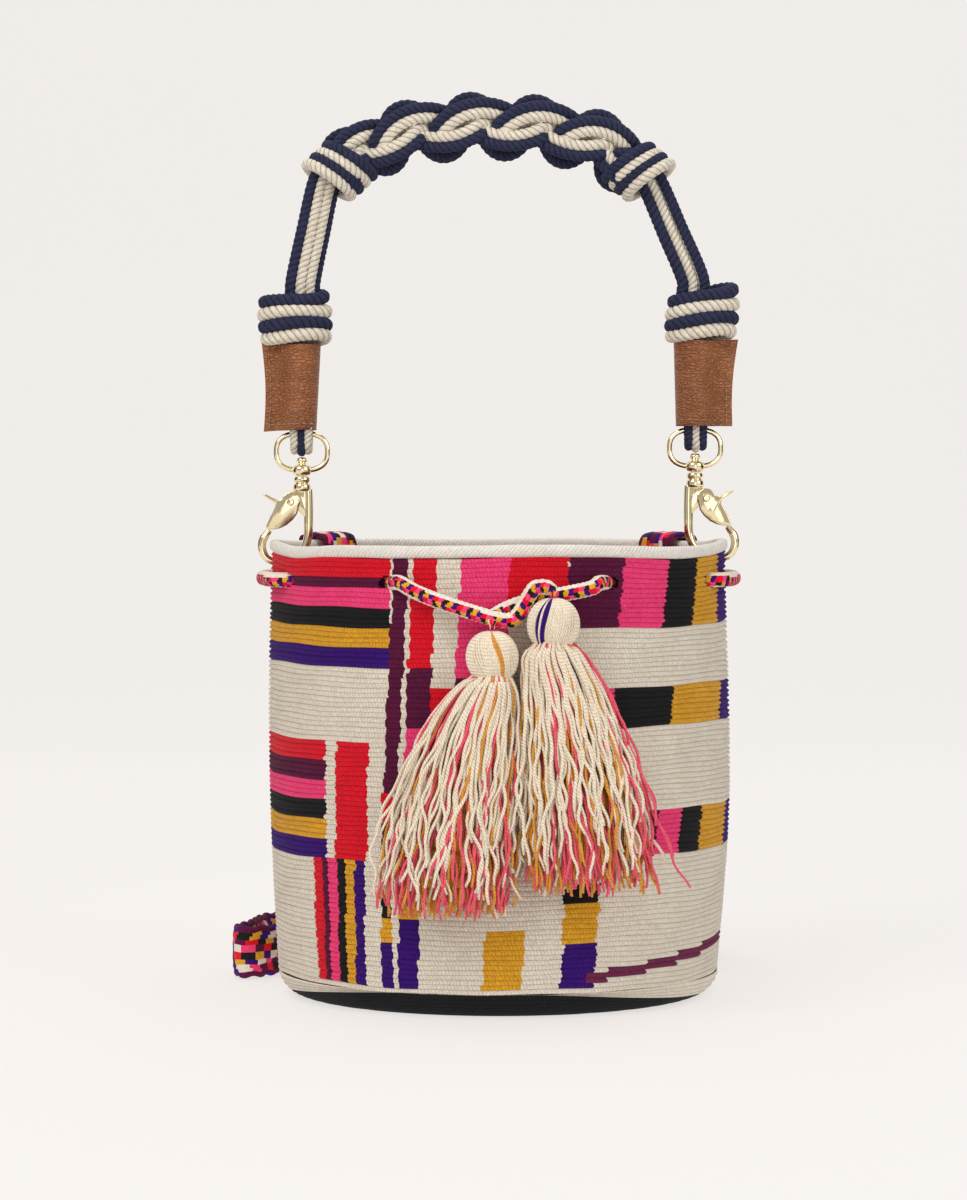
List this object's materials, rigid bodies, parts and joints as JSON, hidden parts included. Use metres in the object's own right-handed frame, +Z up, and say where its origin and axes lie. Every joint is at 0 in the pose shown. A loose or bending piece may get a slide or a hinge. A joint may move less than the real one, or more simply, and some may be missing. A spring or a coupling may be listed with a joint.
{
  "type": "crossbody bag",
  "caption": "Crocheted bucket bag with a laced drawstring and tassels, a knotted rope top handle on swivel clasps, and a woven shoulder strap.",
  "frame": {"origin": "centre of the flat base, on the surface the bag stands on", "axes": "+Z up along the bag's middle line, +X to the right of someone facing the tassels, -Y is the front"},
  "size_m": [0.2273, 0.3326, 0.393],
  "materials": {
    "crochet_cotton": "matte",
    "drawstring_cord": "matte",
    "woven_strap": "matte",
    "tassel_yarn": "matte",
    "navy_cord": "matte",
    "cream_cord": "matte",
    "tan_leather": "satin",
    "pale_gold": "polished"
  },
  "bodies": {
    "bag": {"bag_body": "crochet_cotton", "drawstring": "drawstring_cord", "shoulder_strap": "woven_strap"},
    "rings": {"left_ring": "pale_gold", "left_swivel_post": "pale_gold", "right_ring": "pale_gold", "right_swivel_post": "pale_gold"},
    "handle": {"left_loop_cord_1": "cream_cord", "left_loop_cord_2": "navy_cord", "left_loop_cord_3": "cream_cord", "left_leather_wrap": "tan_leather", "left_knot": "navy_cord", "left_leg_cord_1": "navy_cord", "left_leg_cord_2": "cream_cord", "left_leg_cord_3": "cream_cord", "left_leg_cord_4": "navy_cord", "right_loop_cord_1": "cream_cord", "right_loop_cord_2": "navy_cord", "right_loop_cord_3": "cream_cord", "right_leather_wrap": "tan_leather", "right_knot": "navy_cord", "right_leg_cord_1": "navy_cord", "right_leg_cord_2": "cream_cord", "right_leg_cord_3": "cream_cord", "right_leg_cord_4": "navy_cord", "plait_strand_1": "navy_cord", "plait_strand_2": "cream_cord", "plait_strand_3": "navy_cord"},
    "left_hook": {"left_hook": "pale_gold", "left_rivet": "pale_gold"},
    "left_gate": {"left_gate": "pale_gold"},
    "right_hook": {"right_hook": "pale_gold", "right_rivet": "pale_gold"},
    "right_gate": {"right_gate": "pale_gold"},
    "left_tassel": {"left_tassel_head": "tassel_yarn", "left_tassel_skirt": "tassel_yarn"},
    "right_tassel": {"right_tassel_head": "tassel_yarn", "right_tassel_skirt": "tassel_yarn"}
  },
  "joints": [
    {"name": "clasp_tilt", "type": "hinge", "parent": "bag", "child": "rings", "pos_m": [-0.098, 0, 0.1888], "axis": [1, 0, 0.0087], "range_deg": [-25, 25]},
    {"name": "handle_fold", "type": "hinge", "parent": "rings", "child": "handle", "pos_m": [-0.0865, 0, 0.24545], "axis": [1, 0, 0.0098], "range_deg": [-90, 90]},
    {"name": "left_hook_swivel", "type": "hinge", "parent": "rings", "child": "left_hook", "pos_m": [-0.0865, 0, 0.2203], "axis": [0, 0, 1], "range_deg": [-5, 5]},
    {"name": "left_gate_open", "type": "hinge", "parent": "left_hook", "child": "left_gate", "pos_m": [-0.0914, 0, 0.2151], "axis": [0, -1, 0], "range_deg": [0, 20], "stiffness_Nm_per_rad": 0.02, "springref_deg": -20.05},
    {"name": "right_hook_swivel", "type": "hinge", "parent": "rings", "child": "right_hook", "pos_m": [0.0865, 0, 0.222], "axis": [0, 0, 1], "range_deg": [-5, 5]},
    {"name": "right_gate_open", "type": "hinge", "parent": "right_hook", "child": "right_gate", "pos_m": [0.0914, 0, 0.2168], "axis": [0, 1, 0], "range_deg": [0, 20], "stiffness_Nm_per_rad": 0.02, "springref_deg": -20.05},
    {"name": "left_tassel_swing", "type": "hinge", "parent": "bag", "child": "left_tassel", "pos_m": [-0.003, -0.1133, 0.1635], "axis": [-1, 0, 0], "range_deg": [0, 45]},
    {"name": "right_tassel_swing", "type": "hinge", "parent": "bag", "child": "right_tassel", "pos_m": [0.022, -0.1133, 0.177], "axis": [-1, 0, 0], "range_deg": [0, 45]}
  ]
}
